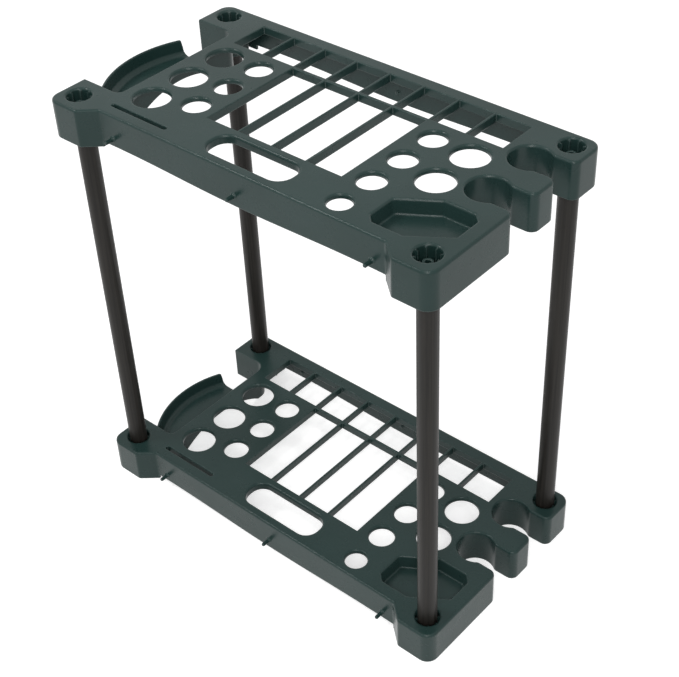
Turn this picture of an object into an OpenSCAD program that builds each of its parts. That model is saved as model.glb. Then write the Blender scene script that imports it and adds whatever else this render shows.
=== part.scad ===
/* [Overall] */
// Length of a shelf over its corner bosses
body_l = 584.2; // [560:0.1:600]
// Depth over the front bosses and the back pegs
body_w = 317.5; // [310:0.1:330]
// Height of the whole rack
body_h = 609.6; // [560:0.1:640]
// Height of one shelf at its corner bosses
shelf_h = 50; // [46:0.5:56]

/* [Walls] */
// Thickness of the deck plate
deck_t = 3.2; // [3:0.1:4]
// Thickness of the skirts and collars
wall = 3; // [2.5:0.1:3.5]
// Depth of the grid ribs and of the long openings' collars
rib_h = 11; // [9:0.5:14]
// Depth of the round holes' collars
collar_h = 6; // [5:0.5:9]
// Rounding of the moulded edges round the deck and its openings
edge_r = 3; // [1.5:0.25:3]
// Mean height of the front and back skirts
skirt_h = 44.5; // [40:0.5:46]
// Wave of the skirts' lower edge
skirt_wave = 2; // [0:0.25:3]
// Outer corner radius of the bosses
corner_r = 16; // [13:0.5:20]
// How far the front skirt stands back from the front bosses
step = 18.75; // [12:0.25:24]

/* [Tubes] */
// Outside diameter of a tube
tube_d = 25; // [24:0.1:26]
// Wall thickness of a tube
tube_wall = 1.5; // [1:0.1:3]
// Tube centre to the shelf's end
tube_in_x = 26.1; // [25:0.1:30]
// Tube centre to the front boss face
tube_in_y = 29.25; // [25:0.25:32]
// Diameter of the round socket round the grip ribs
socket_d = 31; // [30:0.5:32]
// Grip ribs round a socket
grip_n = 8; // [4:1:10]
// Gap between a grip rib and the tube, on the radius
grip_gap = 0.1; // [0.05:0.05:0.3]
// Thickness of the stop web in the middle of a socket
web_t = 3; // [2:0.5:5]
// Outside diameter of the hollow pin on the stop web
pin_d = 12; // [10:0.5:14]
// Height of the hollow pin over the stop web
pin_h = 13; // [6:0.5:18]

/* [Grid] */
// Shelf end to the grid
grid_in = 82.1; // [78:0.1:90]
// Thickness of a grid rib
grid_t = 3; // [2:0.25:4]
// Width of the rim behind the square cells
rim_w = 18.5; // [16:0.5:22]
// Depth of the square cells, front to back
cell_l = 56; // [52:0.5:58]
// Strip between the oblong opening and the long windows
window_gap = 9; // [7:0.5:14]

/* [Tool holes] */
// Diameter of the large round holes
big_d = 46.5; // [43:0.5:49]
// Distance between the large holes
big_p = 62; // [60:0.5:64]
// Large holes to the shelf's end
big_in = 102.1; // [100:0.1:104]
// Middle row of the large holes to the front skirt
big_row = 121.5; // [119:0.5:124]
// Diameter of the small round holes
small_d = 35; // [32:0.5:37]
// Distance between the small holes
small_p = 54; // [53:0.5:56]
// Small holes to the shelf's end
small_in = 157.1; // [155:0.1:159]
// Middle row of the small holes to the front skirt
small_row = 133.5; // [131:0.5:136]
// Diameter of the single front hole
front_d = 30; // [26:0.5:32]
// Single front hole to the front skirt
front_row = 26.5; // [24:0.5:30]
// Length of the oblong opening in the front
slot_l = 128; // [110:1:136]
// Width of the oblong opening
slot_w = 45; // [41:0.5:47]
// Oblong opening to the front skirt
slot_in = 12; // [8:0.5:14]
// Length of the narrow blade slot
blade_l = 93; // [70:1:100]
// Width of the narrow blade slot
blade_w = 6; // [5:0.25:8]
// Blade slot to the shelf's end
blade_in = 76.1; // [72:0.1:80]

/* [Side notches] */
// Diameter of the round end of a notch
notch_d = 51; // [48:0.5:54]
// Width of the open mouth of a notch
mouth_w = 38; // [35:0.5:40]
// Distance between the two notches
notch_p = 78.5; // [77:0.5:80]
// Round end to the shelf's side
notch_in = 47.6; // [45:0.1:49]
// Middle of the finger between the notches to the back face
notch_back = 112; // [110:0.5:114]

/* [Tray and ledge] */
// Depth of the tray
tray_d = 18.5; // [12:0.5:24]
// Tray centre to the shelf's end
tray_in = 68.1; // [66:0.1:70]
// Tray centre to the front skirt
tray_row = 57.5; // [56:0.5:60]
// Depth of the ledge below the deck
ledge_d = 20; // [16:0.5:26]
// Width of the open bay beside the deck
bay_w = 63.6; // [60:0.1:66]
// Radius of the curved lip
lip_r = 137.5; // [134:0.5:139]
// Gap behind the ledge
ledge_gap = 55; // [50:0.5:60]

/* [Side pegs] */
// Diameter of a peg
peg_d = 5; // [4:0.25:7]
// Diameter of the swelling at a peg's root
peg_root = 13; // [8:0.5:16]
// How far a front peg stands out
peg_out = 12.5; // [8:0.5:18]
// How far a back peg stands out
peg_back = 5.25; // [3:0.25:6]
// Outer pegs to the shelf's end
peg_in = 92.1; // [88:0.1:100]
// Depth of the pegs below the deck
peg_z = 33; // [28:0.5:36]

/* [Hidden] */
$fn = 96;
half_l = body_l / 2;
front_y = body_w / 2;
back_y = front_y - peg_back;
step_y = front_y - step;
tube_x = half_l - tube_in_x;
tube_y = front_y - tube_in_y;
boss_half = 30.5;
bay_x = -half_l + bay_w;
bay_y = tube_y - boss_half;
ledge_y = bay_y - ledge_gap;
grid_p = (body_l - 2 * grid_in) / 8;
cell_y = back_y - rim_w;
cell_front = cell_y - cell_l;
cross_t = grid_t + 1;
slot_y = -step_y + slot_in;
window_y = slot_y + slot_w + window_gap;
big_x = half_l - big_in;
small_x = half_l - small_in;
web_z = -shelf_h / 2 - web_t / 2;
tube_z = shelf_h / 2 + web_t / 2;
tube_l = body_h - shelf_h - web_t;
grid_l = 8 * grid_p - grid_t;
window_l = 4 * grid_p - grid_t;
notch_x = half_l - notch_in;
notch_y = back_y - notch_back;
blend_r = 8;
mouth_r = 10;
slot_r = 20;
flank_a = 51.1;
flank_b = 73.1;
flank_t = tan(atan2(step, flank_b - flank_a) / 2);
arch_w = 80;
wave_l = body_l * 0.634;
arch_h = shelf_h - ledge_d - wall - 0.5;
arch_r = (arch_w * arch_w + arch_h * arch_h) / (2 * arch_h);

plastic = [0.3, 0.34, 0.33];
steel = [0.2, 0.18, 0.17];

// Points of an arc from angle a to angle b
function arc(x, y, r, a, b, n = 8) =
  [for (i = [0 : n]) [x + r * cos(a + (b - a) * i / n), y + r * sin(a + (b - a) * i / n)]];

// Unit vector from point a to point b
function toward(a, b) = (b - a) / norm(b - a);

// Points that round the corner b between points a and c with radius r
function round_corner(a, b, c, r, n) =
  let(u = toward(b, a), v = toward(b, c))
  let(half = acos(u * v) / 2, m = b + (u + v) / norm(u + v) * r / sin(half))
  let(p = b + u * r / tan(half) - m, q = b + v * r / tan(half) - m)
  let(start = atan2(p.y, p.x), turn = atan2(q.y, q.x) - start)
  let(sweep = turn > 180 ? turn - 360 : turn < -180 ? turn + 360 : turn)
  arc(m.x, m.y, r, start, start + sweep, n);

// Outline through corner points [x, y, radius], each rounded by its radius
function soft(c, n = 7) = let(k = len(c)) [
  for (i = [0 : k - 1])
    let(a = c[(i + k - 1) % k], b = c[i], d = c[(i + 1) % k])
    each round_corner([a.x, a.y], [b.x, b.y], [d.x, d.y], b[2], n)
];

// Outline of the shelf, drawn in by e
function rim(e) = soft([
  [half_l - e, back_y - e, corner_r - e],
  [-half_l + e, back_y - e, corner_r - e],
  [-half_l + e, -front_y + e, corner_r - e],
  [-half_l + flank_a - e * flank_t, -front_y + e, 6 - e],
  [-half_l + flank_b - e * flank_t, -step_y + e, 6 + e],
  [half_l - flank_b + e * flank_t, -step_y + e, 6 + e],
  [half_l - flank_a + e * flank_t, -front_y + e, 6 - e],
  [half_l - e, -front_y + e, corner_r - e]
]);

// Open bay in the left side, grown by e
function bay(e) = concat(
  [
    [-half_l - 20, bay_y + e],
    [-half_l - 20, -bay_y - e]
  ],
  arc(bay_x - 10, -bay_y + 10, 10 + e, 270, 360),
  arc(bay_x - 16, bay_y - 16, 16 + e, 0, 90)
);

// One keyhole notch with blended mouth corners, grown by e
function notch(e) =
  let(r = notch_d / 2 + e, w = mouth_w / 2 + e, f = blend_r - e, m = mouth_r - e)
  let(fx = sqrt((r + f) * (r + f) - (w + f) * (w + f)), fa = atan2(w + f, fx))
  concat(
    [[notch_in + 30, -w - m]],
    [[notch_in + 30, w + m]],
    arc(notch_in - mouth_r, w + m, m, 360, 270, 5),
    arc(fx, w + f, f, 270, 180 + fa, 5),
    arc(0, 0, r, fa + 8, 352 - fa, 24),
    arc(fx, -w - f, f, 180 - fa, 90, 5),
    arc(notch_in - mouth_r, -w - m, m, 90, 0, 5)
  );

// Copies its child to both side notches
module notches() {
  for (s = [-1, 1]) {
    translate([notch_x, notch_y + s * notch_p / 2, 0]) children();
  }
}

// Inset and height of step i of a quarter round
function in_at(i) = edge_r * (1 - cos(30 * i));
function z_at(i) = edge_r * (sin(30 * i) - 1);

// Solid through outlines p at heights z, all with the same number of points
module loft(p, z) {
  n = len(p[0]);
  m = len(p);
  polyhedron(
    points = [for (k = [0 : m - 1]) each [for (q = p[k]) [q.x, q.y, z[k]]]],
    faces = concat(
      [[for (i = [0 : n - 1]) i]],
      [[for (i = [n - 1 : -1 : 0]) (m - 1) * n + i]],
      [for (k = [0 : m - 2], i = [0 : n - 1])
        [k * n + i, (k + 1) * n + i, (k + 1) * n + (i + 1) % n, k * n + (i + 1) % n]]
    )
  );
}

// Solid block of the whole shelf, drawn in by e
module block(e) {
  translate([0, 0, -shelf_h]) linear_extrude(height = shelf_h) polygon(rim(e));
}

// Room above and round the rounded top edge
module edge_cut() {
  difference() {
    translate([-half_l - 5, -front_y - 5, -edge_r]) cube([body_l + 10, body_w + 10, edge_r + 1]);
    loft(
      concat([rim(0)], [for (i = [0 : 3]) rim(in_at(i))], [rim(edge_r)]),
      concat([-edge_r - 1], [for (i = [0 : 3]) z_at(i)], [2])
    );
  }
}

// Upright walls round the bay and the notches
module side_walls() {
  intersection() {
    block(0);
    translate([0, 0, -shelf_h]) {
      linear_extrude(height = shelf_h - edge_r) {
        polygon(bay(wall));
        notches() polygon(notch(wall));
      }
    }
  }
}

// Openings in the shelf's sides: the bay and the notches
module side_openings() {
  linear_extrude(height = 4 * shelf_h, center = true) polygon(bay(0));
  notches() {
    loft(
      concat([notch(0)], [for (i = [0 : 3]) notch(in_at(i))], [notch(edge_r)]),
      concat([-2 * shelf_h], [for (i = [0 : 3]) z_at(i)], [1])
    );
  }
  translate([bay_x - 1, -4, -ledge_d - wall - 0.5 - arch_r]) {
    rotate([0, 90, 0]) cylinder(h = wall + 2, r = arch_r);
  }
}

// Copies its child to every large hole
module big_holes() {
  for (i = [-1 : 1]) {
    translate([-big_x, -step_y + big_row + i * big_p, 0]) children();
  }
  for (i = [0 : 1]) {
    translate([big_x, -step_y + big_row + i * big_p, 0]) children();
  }
}

// Copies its child to every small hole
module small_holes() {
  for (s = [-1, 1]) {
    for (i = [-1 : 1]) {
      translate([s * small_x, -step_y + small_row + i * small_p, 0]) children();
    }
  }
}

// Copies its child to the four sockets
module corners() {
  for (sx = [-1, 1]) {
    for (sy = [-1, 1]) {
      translate([sx * tube_x, sy * tube_y, 0]) children();
    }
  }
}

// Collar of a round hole
module collar(d) {
  translate([0, 0, -collar_h]) cylinder(h = collar_h, d = d + 2 * wall);
}

// Round hole with its rim rounded
module hole(d) {
  cylinder(h = 4 * shelf_h, d = d, center = true);
  rotate_extrude() {
    polygon(concat(
      [[d / 4, -edge_r]],
      [for (i = [0 : 3]) [d / 2 + in_at(i), z_at(i)]],
      [[d / 2 + edge_r, 1]],
      [[d / 4, 1]]
    ));
  }
}

// Outline of the oblong opening about its centre, grown by e
function slot_plan(e) = soft([
  [slot_l / 2 + e, slot_w / 2 + e, slot_r + e],
  [-slot_l / 2 - e, slot_w / 2 + e, slot_r + e],
  [-slot_l / 2 - e, -slot_w / 2 - e, slot_r + e],
  [slot_l / 2 + e, -slot_w / 2 - e, slot_r + e]
]);

// Hollow of the oblong opening with its rim rounded
module slot_hollow() {
  b = -edge_r / 2;
  loft(
    concat([slot_plan(b)], [for (i = [0 : 3]) slot_plan(b + in_at(i))], [slot_plan(-b)]),
    concat([-shelf_h], [for (i = [0 : 3]) z_at(i)], [1])
  );
}

// Moves its child to the middle of the oblong opening
module slot_place() {
  translate([-1, slot_y + slot_w / 2, 0]) children();
}

// Plan of the blade slot, grown by e
module blade_plan(e) {
  x = -half_l + blade_in;
  y = -step_y + 19;
  r = blade_w / 2 - 0.5 + e;
  polygon(soft([
    [x + blade_l + e, y + blade_w / 2 + e, r],
    [x - e, y + blade_w / 2 + e, r],
    [x - e, y - blade_w / 2 - e, r],
    [x + blade_l + e, y - blade_w / 2 - e, r]
  ], 4));
}

// Outline of the tray about its centre, grown by e
function tray_plan(e) = let(g = e * 0.41) soft([
  [-49.5 - e, -29 - g, 5],
  [-39.5 - g, -39 - e, 5],
  [2 + g, -39 - e, 5],
  [49 + e, -7.5 - g, 5],
  [49 + e, 29 + g, 5],
  [39 + g, 39 + e, 5],
  [-3 - g, 39 + e, 5],
  [-49.5 - e, 8.5 + g, 5]
], 4);

// Moves its child to the middle of the tray
module tray_place() {
  translate([half_l - tray_in, -step_y + tray_row, 0]) children();
}

// Sloping shell of the tray below the deck
module tray_shell() {
  d = tray_d + wall;
  loft([tray_plan(wall - 5), tray_plan(wall - 3.5), tray_plan(wall)], [-d, 2 - d, -1]);
}

// Hollow of the tray, rounded at its floor and at its rim
module tray_hollow() {
  b = -edge_r / 2;
  loft(
    concat(
      [tray_plan(-5.5), tray_plan(-4.2), tray_plan(-3.6)],
      [for (i = [0 : 3]) tray_plan(b + in_at(i))],
      [tray_plan(-b)]
    ),
    concat([-tray_d, 0.8 - tray_d, 2.6 - tray_d], [for (i = [0 : 3]) z_at(i)], [1])
  );
}

// Grid of square cells behind and long windows in front
module grid_openings() {
  for (i = [0 : 7]) {
    translate([(i - 4) * grid_p + grid_t / 2, cell_front, -shelf_h]) {
      cube([grid_p - grid_t, cell_l, shelf_h * 2]);
    }
  }
  for (i = [0 : 3]) {
    translate([(i - 2) * grid_p + grid_t / 2, window_y, -shelf_h]) {
      cube([grid_p - grid_t, cell_front - cross_t - window_y, shelf_h * 2]);
    }
  }
}

// Ribbed frame round the grid
module grid_frame() {
  translate([-grid_l / 2 - wall, cell_front - cross_t, -rib_h]) {
    cube([grid_l + 2 * wall, cell_l + cross_t + wall, rib_h]);
  }
  translate([-window_l / 2 - wall, window_y - wall, -rib_h]) {
    cube([window_l + 2 * wall, cell_front - window_y, rib_h]);
  }
}

// Grip ribs and stop web inside a socket
module socket_inside() {
  translate([0, 0, web_z]) {
    difference() {
      union() {
        cylinder(h = web_t, d = socket_d + 1);
        cylinder(h = web_t + pin_h, d = pin_d);
      }
      translate([0, 0, -1]) cylinder(h = web_t + pin_h + 2, d = pin_d - 5);
    }
  }
  difference() {
    for (i = [0 : grip_n - 1]) {
      rotate([0, 0, i * 360 / grip_n]) {
        translate([tube_d / 2 - 1, -0.9, -shelf_h + 3]) {
          cube([socket_d / 2 - tube_d / 2 + 1.5, 1.8, shelf_h - 6]);
        }
      }
    }
    translate([0, 0, -shelf_h]) cylinder(h = shelf_h, d = tube_d + 2 * grip_gap);
  }
}

// Stiffening webs between a socket and the walls of its boss
module boss_webs() {
  intersection() {
    block(wall / 2);
    corners() {
      translate([-boss_half, -1.25, -shelf_h + 6]) cube([2 * boss_half, 2.5, shelf_h - 6]);
      translate([-1.25, -boss_half, -shelf_h + 6]) cube([2.5, 2 * boss_half, shelf_h - 6]);
    }
  }
}

// Sunken ledge with its curved lip at the left side
module ledge() {
  p = concat(
    [[40, -ledge_d]],
    arc(lip_r - 13, -ledge_d + 9, 9, 270, 345, 6),
    [[lip_r - 3, -2]],
    arc(lip_r - 1.5, -1.5, 1.5, 180, 0, 6),
    arc(lip_r - 13, -ledge_d + 9, 12, 345, 270, 6),
    [[40, -ledge_d - wall]]
  );
  intersection() {
    translate([bay_x + 80.5, -18.5, 0]) rotate_extrude() polygon(p);
    linear_extrude(height = 2 * shelf_h, center = true) {
      polygon([
        [-half_l, -bay_y - 1],
        [bay_x + 1, -bay_y - 1],
        [bay_x + 1, ledge_y],
        [bay_x - 37.5, ledge_y],
        [-half_l, ledge_y - 13]
      ]);
    }
  }
}

// Peg with its swollen root, standing out by l from a face in front of it
module peg(l) {
  rotate([90, 0, 0]) {
    translate([0, 0, -wall - 2]) cylinder(h = wall + 2 + l - 1, d = peg_d);
    translate([0, 0, l - 1]) cylinder(h = 1, d1 = peg_d, d2 = peg_d - 1.6);
    translate([0, 0, -wall / 2 - 1]) cylinder(h = wall / 2 + 4, d1 = peg_root, d2 = peg_d - 1);
  }
}

// Pegs on the front and back skirts
module pegs() {
  for (i = [-1 : 1]) {
    translate([i * (half_l - peg_in), -step_y, -peg_z]) peg(peg_out);
    translate([i * (half_l - peg_in), back_y, -peg_z]) rotate([0, 0, 180]) peg(peg_back);
  }
}

// Space under a skirt with a waved edge, from side to side by x and l thick
module skirt_cut(x, l) {
  rotate([90, 0, 0]) {
    linear_extrude(height = l) {
      polygon(concat(
        [[x, -shelf_h - 5]],
        [[-x, -shelf_h - 5]],
        [for (i = [-16 : 16]) [x * i / 16, -skirt_h - skirt_wave * cos(360 * x * i / 16 / wave_l)]]
      ));
    }
  }
}

// One moulded shelf with its deck top at z = 0
module shelf() {
  difference() {
    union() {
      difference() {
        block(0);
        translate([0, 0, -deck_t]) block(wall);
      }
      side_walls();
      grid_frame();
      big_holes() collar(big_d);
      small_holes() collar(small_d);
      translate([small_x, -step_y + front_row, 0]) collar(front_d);
      slot_place() translate([0, 0, -rib_h]) linear_extrude(height = rib_h) polygon(slot_plan(wall));
      translate([0, 0, -rib_h]) linear_extrude(height = rib_h) blade_plan(wall);
      tray_place() tray_shell();
      pegs();
      boss_webs();
      corners() {
        translate([0, 0, -shelf_h]) cylinder(h = shelf_h, d = socket_d + 2 * wall);
      }
    }
    edge_cut();
    side_openings();
    grid_openings();
    big_holes() hole(big_d);
    small_holes() hole(small_d);
    translate([small_x, -step_y + front_row, 0]) hole(front_d);
    slot_place() slot_hollow();
    linear_extrude(height = 4 * shelf_h, center = true) blade_plan(0);
    tray_place() tray_hollow();
    translate([0, -step_y + wall + 4, 0]) skirt_cut(half_l - flank_b, 16);
    translate([0, back_y + 4, 0]) skirt_cut(half_l - flank_a, 16);
    corners() hole(socket_d);
  }
  ledge();
  corners() socket_inside();
}

// One tube standing between the stop webs
module tube(sx, sy) {
  translate([sx * tube_x, sy * tube_y, tube_z]) {
    difference() {
      cylinder(h = tube_l, d = tube_d);
      translate([0, 0, -1]) cylinder(h = tube_l + 2, d = tube_d - 2 * tube_wall);
    }
  }
}

module lower_shelf() {
  color(plastic) translate([0, 0, shelf_h]) shelf();
}

module upper_shelf() {
  color(plastic) translate([0, 0, body_h]) shelf();
}

module tube_front_left() {
  color(steel) tube(-1, -1);
}

module tube_front_right() {
  color(steel) tube(1, -1);
}

module tube_back_left() {
  color(steel) tube(-1, 1);
}

module tube_back_right() {
  color(steel) tube(1, 1);
}

lower_shelf();
upper_shelf();
tube_front_left();
tube_front_right();
tube_back_left();
tube_back_right();
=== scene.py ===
import math

import bmesh
import bpy
from mathutils import Matrix, Vector


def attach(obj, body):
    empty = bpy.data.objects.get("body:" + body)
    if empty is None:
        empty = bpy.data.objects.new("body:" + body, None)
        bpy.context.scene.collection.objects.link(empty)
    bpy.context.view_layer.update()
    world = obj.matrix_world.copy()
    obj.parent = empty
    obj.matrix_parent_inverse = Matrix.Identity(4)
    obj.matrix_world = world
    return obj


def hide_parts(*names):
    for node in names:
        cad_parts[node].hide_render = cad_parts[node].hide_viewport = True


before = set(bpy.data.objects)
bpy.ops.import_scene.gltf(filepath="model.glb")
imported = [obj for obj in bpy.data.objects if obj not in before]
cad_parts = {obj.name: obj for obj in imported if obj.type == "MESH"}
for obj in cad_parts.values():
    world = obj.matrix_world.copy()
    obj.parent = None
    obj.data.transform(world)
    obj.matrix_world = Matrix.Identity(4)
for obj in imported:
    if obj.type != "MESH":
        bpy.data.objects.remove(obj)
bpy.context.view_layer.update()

# The photograph's pinhole camera, solved from both decks' holes and sockets
PHOTO_WIDTH = 679.0
FOCAL_PIXELS = 1404.8
SENSOR_WIDTH = 36.0
FAR_CLIP = 30.0
CAMERA_PLACE = (0.973, -1.0362, 1.4356)
# The camera's right, up and backward directions
CAMERA_AXES = (
    (0.756421, 0.652963, -0.038288),
    (-0.389825, 0.497048, 0.775228),
    (0.525227, -0.571473, 0.63052),
)

# Linear colours of the shelf plastic: its darker and lighter cloud, and its lighter edges, which are
# partly rubbing wear and partly a painted highlight along the rims
PLASTIC_DARK = (0.012, 0.031, 0.028)
PLASTIC_LIGHT = (0.017, 0.039, 0.036)
PLASTIC_WEAR_AND_HIGHLIGHT = (0.11, 0.15, 0.144)
PLASTIC_SPECULAR = 0.24
PLASTIC_ROUGHNESS = (0.24, 0.33)
CLOUD_SCALE = 9.0
PATCH_SCALE = 40.0
# How strongly, patch by patch, the lighter edge shows; it is partly wear and partly painted highlight
PATCH_WEAR_AND_HIGHLIGHT = (0.3, 0.9)
RUB_MARK_SCALE = 26.0
GRAIN_SCALE = 1400.0
WAVE_SCALE = 60.0
GRAIN_BUMP = (0.10, 0.0002)
WAVE_BUMP = (0.06, 0.002)

# How far an edge turns away from its face, as a cosine, where the lighter edge (partly wear, partly
# painted highlight) starts and is full
WEAR_AND_HIGHLIGHT_START = 0.99
WEAR_AND_HIGHLIGHT_FULL = 0.85
# Radius over which the plastic's shading rounds its edges, in metres
SOFT_EDGE = 0.002
SOFT_SAMPLES = 6

# Linear colours of the tube coating, and its streaks along the tube
COATING_DARK = (0.011, 0.0098, 0.0085)
COATING_LIGHT = (0.021, 0.0188, 0.0163)
COATING_SPECULAR = 0.2
COATING_ROUGHNESS = (0.34, 0.46)
STREAK_SCALE = 420.0
STREAK_STRETCH = (1.0, 1.0, 0.02)
STREAK_BUMP = (0.08, 0.0003)

# The parts of a noise's range that the colours and the roughness spread over
COLOUR_RANGE = (0.35, 0.65)
ROUGHNESS_RANGE = (0.3, 0.7)

# Shelf meshes, in metres and degrees
MERGE_DISTANCE = 2e-6
FLAT_ANGLE = 0.6
RIM_ANGLE = 50
RIM_LEVEL = 0.0001
RIM_BREAK = 0.0009
RIM_SEGMENTS = 3
SHARP_ANGLE = 34
FACE_WEIGHT = 80

# Floor and world. The lift is the floor's own light for the rays that look at the background.
FLOOR_HALF = 12.0
FLOOR_COLOUR = (0.7, 0.7, 0.7, 1.0)
FLOOR_ROUGHNESS = 0.9
FLOOR_LIFT = 0.62
WHITE = (1.0, 1.0, 1.0, 1.0)
# The world's light on the object, near the horizon and overhead
HORIZON = 0.74
ZENITH = 0.3
HORIZON_TO_ZENITH = (0.3, 0.9)

# Square soft lamps: name, place, target, side and power
LAMPS = (
    ("overhead_box", (0.35, -0.35, 2.7), (0, 0, 0.4), 0.5, 10),
    ("left_box", (-1.2, -0.9, 2.2), (0, 0, 0.5), 0.5, 14),
    ("front_box", (1.4, -1.8, 2.1), (0.1, -0.1, 0.4), 0.8, 27),
)


def add_object(name, data):
    made = bpy.data.objects.new(name, data)
    bpy.context.scene.collection.objects.link(made)
    return made


def make_camera():
    data = bpy.data.cameras.new("camera")
    data.sensor_fit = "HORIZONTAL"
    data.sensor_width = SENSOR_WIDTH
    data.lens = FOCAL_PIXELS / PHOTO_WIDTH * SENSOR_WIDTH
    data.clip_end = FAR_CLIP
    cam = add_object("camera", data)
    placed = Matrix(CAMERA_AXES).transposed().to_4x4()
    placed.translation = CAMERA_PLACE
    cam.matrix_world = placed
    bpy.context.scene.camera = cam


def new_material(name):
    mat = bpy.data.materials.new(name)
    mat.use_nodes = True
    nodes = mat.node_tree.nodes
    return mat, nodes, mat.node_tree.links, nodes["Principled BSDF"]


def noise(nodes, links, source, scale, detail, rough=0.5):
    texture = nodes.new("ShaderNodeTexNoise")
    texture.inputs["Scale"].default_value = scale
    texture.inputs["Detail"].default_value = detail
    texture.inputs["Roughness"].default_value = rough
    links.new(source, texture.inputs["Vector"])
    return texture.outputs["Fac"]


def ramp(nodes, links, source, span, ends):
    """Maps a value from a span to two end values, held beyond them."""
    remap = nodes.new("ShaderNodeMapRange")
    remap.inputs["From Min"].default_value, remap.inputs["From Max"].default_value = span
    remap.inputs["To Min"].default_value, remap.inputs["To Max"].default_value = ends
    links.new(source, remap.inputs["Value"])
    return remap.outputs["Result"]


def arithmetic(nodes, links, operation, first, second):
    node = nodes.new("ShaderNodeMath")
    node.operation = operation
    links.new(first, node.inputs[0])
    links.new(second, node.inputs[1])
    return node


def colour_mix(nodes, links, factor, first, second):
    """Mixes two colours, of which the first may be another node's output."""
    mix = nodes.new("ShaderNodeMix")
    mix.data_type = "RGBA"
    if isinstance(first, bpy.types.NodeSocket):
        links.new(first, mix.inputs["A"])
    else:
        mix.inputs["A"].default_value = (*first, 1.0)
    mix.inputs["B"].default_value = (*second, 1.0)
    links.new(factor, mix.inputs["Factor"])
    return mix.outputs["Result"]


def bump(nodes, links, height, amount):
    """Bumps the surface by a strength and a distance."""
    node = nodes.new("ShaderNodeBump")
    node.inputs["Strength"].default_value, node.inputs["Distance"].default_value = amount
    links.new(height, node.inputs["Height"])
    return node


def moulded_plastic(name):
    """Satin moulded plastic: cloudy flow tone, fine spark-eroded grain, lighter edges that are partly
    rubbing wear and partly a painted highlight.
    """
    mat, nodes, links, shader = new_material(name)
    coord = nodes.new("ShaderNodeTexCoord").outputs["Object"]
    cloud = noise(nodes, links, coord, CLOUD_SCALE, 4.0)
    tone = ramp(nodes, links, cloud, COLOUR_RANGE, (0.0, 1.0))
    base = colour_mix(nodes, links, tone, PLASTIC_DARK, PLASTIC_LIGHT)
    soft = nodes.new("ShaderNodeBevel")
    soft.samples = SOFT_SAMPLES
    soft.inputs["Radius"].default_value = SOFT_EDGE
    turn = nodes.new("ShaderNodeVectorMath")
    turn.operation = "DOT_PRODUCT"
    links.new(soft.outputs["Normal"], turn.inputs[0])
    links.new(nodes.new("ShaderNodeNewGeometry").outputs["Normal"], turn.inputs[1])
    # Edges are painted lighter: partly rubbing wear, partly a painted highlight standing in for the
    # shine along the rims
    edge = ramp(nodes, links, turn.outputs["Value"], (WEAR_AND_HIGHLIGHT_START, WEAR_AND_HIGHLIGHT_FULL), (0.0, 1.0))
    patch = noise(nodes, links, coord, PATCH_SCALE, 3.0)
    patchy = ramp(nodes, links, patch, COLOUR_RANGE, PATCH_WEAR_AND_HIGHLIGHT)
    edge_wear_and_highlight = arithmetic(nodes, links, "MULTIPLY", edge, patchy)
    worn_and_highlit = colour_mix(nodes, links, edge_wear_and_highlight.outputs["Value"], base, PLASTIC_WEAR_AND_HIGHLIGHT)
    links.new(worn_and_highlit, shader.inputs["Base Color"])
    shader.inputs["Specular IOR Level"].default_value = PLASTIC_SPECULAR
    rub_mark = noise(nodes, links, coord, RUB_MARK_SCALE, 5.0, 0.6)
    links.new(
        ramp(nodes, links, rub_mark, ROUGHNESS_RANGE, PLASTIC_ROUGHNESS),
        shader.inputs["Roughness"],
    )
    fine = bump(nodes, links, noise(nodes, links, coord, GRAIN_SCALE, 2.0), GRAIN_BUMP)
    slow = bump(nodes, links, noise(nodes, links, coord, WAVE_SCALE, 2.0), WAVE_BUMP)
    links.new(soft.outputs["Normal"], fine.inputs["Normal"])
    links.new(fine.outputs["Normal"], slow.inputs["Normal"])
    links.new(slow.outputs["Normal"], shader.inputs["Normal"])
    return mat


def coated_tube(name):
    """Dark semi-gloss coating on a drawn tube, with faint streaks along its length."""
    mat, nodes, links, shader = new_material(name)
    coord = nodes.new("ShaderNodeTexCoord").outputs["Object"]
    stretch = nodes.new("ShaderNodeMapping")
    stretch.inputs["Scale"].default_value = STREAK_STRETCH
    links.new(coord, stretch.inputs["Vector"])
    streak = noise(nodes, links, stretch.outputs["Vector"], STREAK_SCALE, 3.0)
    tone = ramp(nodes, links, streak, COLOUR_RANGE, (0.0, 1.0))
    base = colour_mix(nodes, links, tone, COATING_DARK, COATING_LIGHT)
    links.new(base, shader.inputs["Base Color"])
    shader.inputs["Specular IOR Level"].default_value = COATING_SPECULAR
    links.new(
        ramp(nodes, links, streak, ROUGHNESS_RANGE, COATING_ROUGHNESS),
        shader.inputs["Roughness"],
    )
    links.new(bump(nodes, links, streak, STREAK_BUMP).outputs["Normal"], shader.inputs["Normal"])
    return mat


def is_sharp_rim(edge, top):
    """Whether an edge is a crisp corner of the deck, left where no rounding was moulded."""
    if len(edge.link_faces) != 2 or edge.calc_face_angle(0.0) < math.radians(RIM_ANGLE):
        return False
    return all(abs(v.co.z - top) < RIM_LEVEL for v in edge.verts)


def smooth_by_angle(piece):
    """Applies the piece's modifiers, keeps steep edges sharp and lets flat faces rule the shading."""
    deps = bpy.context.evaluated_depsgraph_get()
    done = bpy.data.meshes.new_from_object(piece.evaluated_get(deps))
    piece.modifiers.clear()
    piece.data = done
    for face in done.polygons:
        face.use_smooth = True
    done.set_sharp_from_angle(angle=math.radians(SHARP_ANGLE))
    weighted = piece.modifiers.new("even_shading", "WEIGHTED_NORMAL")
    weighted.keep_sharp = True
    weighted.weight = FACE_WEIGHT


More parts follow.
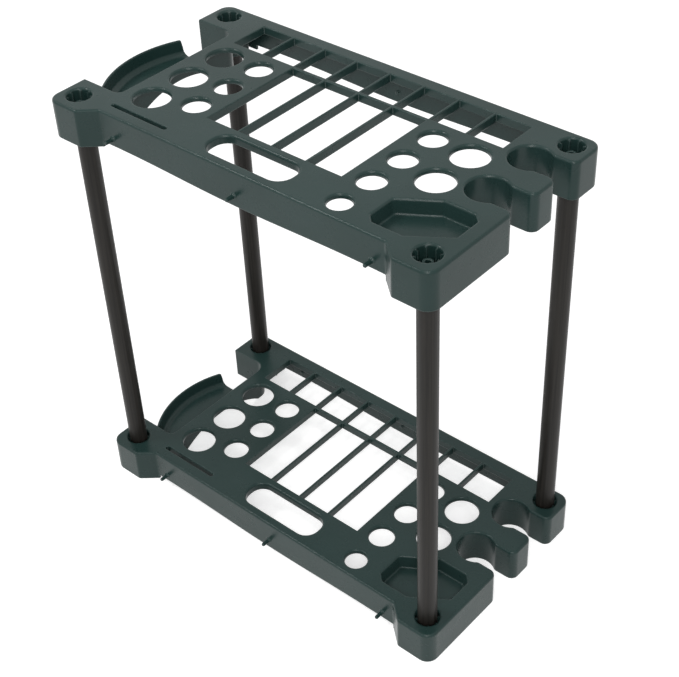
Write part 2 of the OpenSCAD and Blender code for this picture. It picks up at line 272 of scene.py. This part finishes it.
def rounded_copy(node, material):
    """The moulded shelf with its last crisp rims broken, in place of its CAD node."""
    mesh = bpy.data.meshes.new(node + "_moulded")
    bm = bmesh.new()
    bm.from_mesh(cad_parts[node].data)
    bmesh.ops.remove_doubles(bm, verts=bm.verts, dist=MERGE_DISTANCE)
    bmesh.ops.dissolve_limit(
        bm, angle_limit=math.radians(FLAT_ANGLE), verts=bm.verts, edges=bm.edges
    )
    top = max(v.co.z for v in bm.verts)
    weights = bm.edges.layers.float.new("bevel_weight_edge")
    for edge in bm.edges:
        edge[weights] = 1.0 if is_sharp_rim(edge, top) else 0.0
    bm.to_mesh(mesh)
    bm.free()
    piece = add_object(node + "_moulded", mesh)
    bevel = piece.modifiers.new("break_edges", "BEVEL")
    bevel.width = RIM_BREAK
    bevel.segments = RIM_SEGMENTS
    bevel.limit_method = "WEIGHT"
    bevel.use_clamp_overlap = False
    bevel.miter_outer = "MITER_ARC"
    mesh.materials.append(material)
    smooth_by_angle(piece)
    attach(piece, "root")
    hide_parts(node)


def background_rays(nodes, links):
    """1 for the rays that look at the background: straight, mirrored or through glass."""
    path = nodes.new("ShaderNodeLightPath")
    total = path.outputs["Is Camera Ray"]
    for ray in ("Is Glossy Ray", "Is Transmission Ray"):
        add = arithmetic(nodes, links, "ADD", total, path.outputs[ray])
        add.use_clamp = True
        total = add.outputs["Value"]
    return total


def make_floor():
    mesh = bpy.data.meshes.new("floor")
    s = FLOOR_HALF
    mesh.from_pydata([(-s, -s, 0), (s, -s, 0), (s, s, 0), (-s, s, 0)], [], [(0, 1, 2, 3)])
    floor = add_object("floor", mesh)
    mat, nodes, links, shader = new_material("floor_paper")
    shader.inputs["Base Color"].default_value = FLOOR_COLOUR
    shader.inputs["Roughness"].default_value = FLOOR_ROUGHNESS
    lift = nodes.new("ShaderNodeMath")
    lift.operation = "MULTIPLY"
    lift.inputs[1].default_value = FLOOR_LIFT
    links.new(background_rays(nodes, links), lift.inputs[0])
    shader.inputs["Emission Color"].default_value = WHITE
    links.new(lift.outputs["Value"], shader.inputs["Emission Strength"])
    mesh.materials.append(mat)


def make_world():
    """Lights the object softly from all round, and is white where it is looked at."""
    world = bpy.data.worlds.new("studio")
    world.use_nodes = True
    nodes, links = world.node_tree.nodes, world.node_tree.links
    height = nodes.new("ShaderNodeSeparateXYZ")
    links.new(nodes.new("ShaderNodeTexCoord").outputs["Generated"], height.inputs["Vector"])
    fall = ramp(nodes, links, height.outputs["Z"], HORIZON_TO_ZENITH, (HORIZON, ZENITH))
    strength = arithmetic(nodes, links, "MAXIMUM", fall, background_rays(nodes, links))
    nodes["Background"].inputs["Color"].default_value = WHITE
    links.new(strength.outputs["Value"], nodes["Background"].inputs["Strength"])
    bpy.context.scene.world = world


def area_light(name, place, target, side, power):
    data = bpy.data.lights.new(name, "AREA")
    data.size = side
    data.energy = power
    lamp = add_object(name, data)
    lamp.location = place
    lamp.rotation_euler = (Vector(target) - Vector(place)).to_track_quat("-Z", "Y").to_euler()


make_camera()

shelf_plastic = moulded_plastic("shelf_plastic")
tube_coating = coated_tube("tube_coating")
for name in ("lower_shelf", "upper_shelf"):
    rounded_copy(name, shelf_plastic)
for name in ("tube_front_left", "tube_front_right", "tube_back_left", "tube_back_right"):
    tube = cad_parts[name]
    tube.data.materials.clear()
    tube.data.materials.append(tube_coating)

make_floor()
make_world()
for lamp in LAMPS:
    area_light(*lamp)
bpy.context.scene.view_settings.view_transform = "Standard"
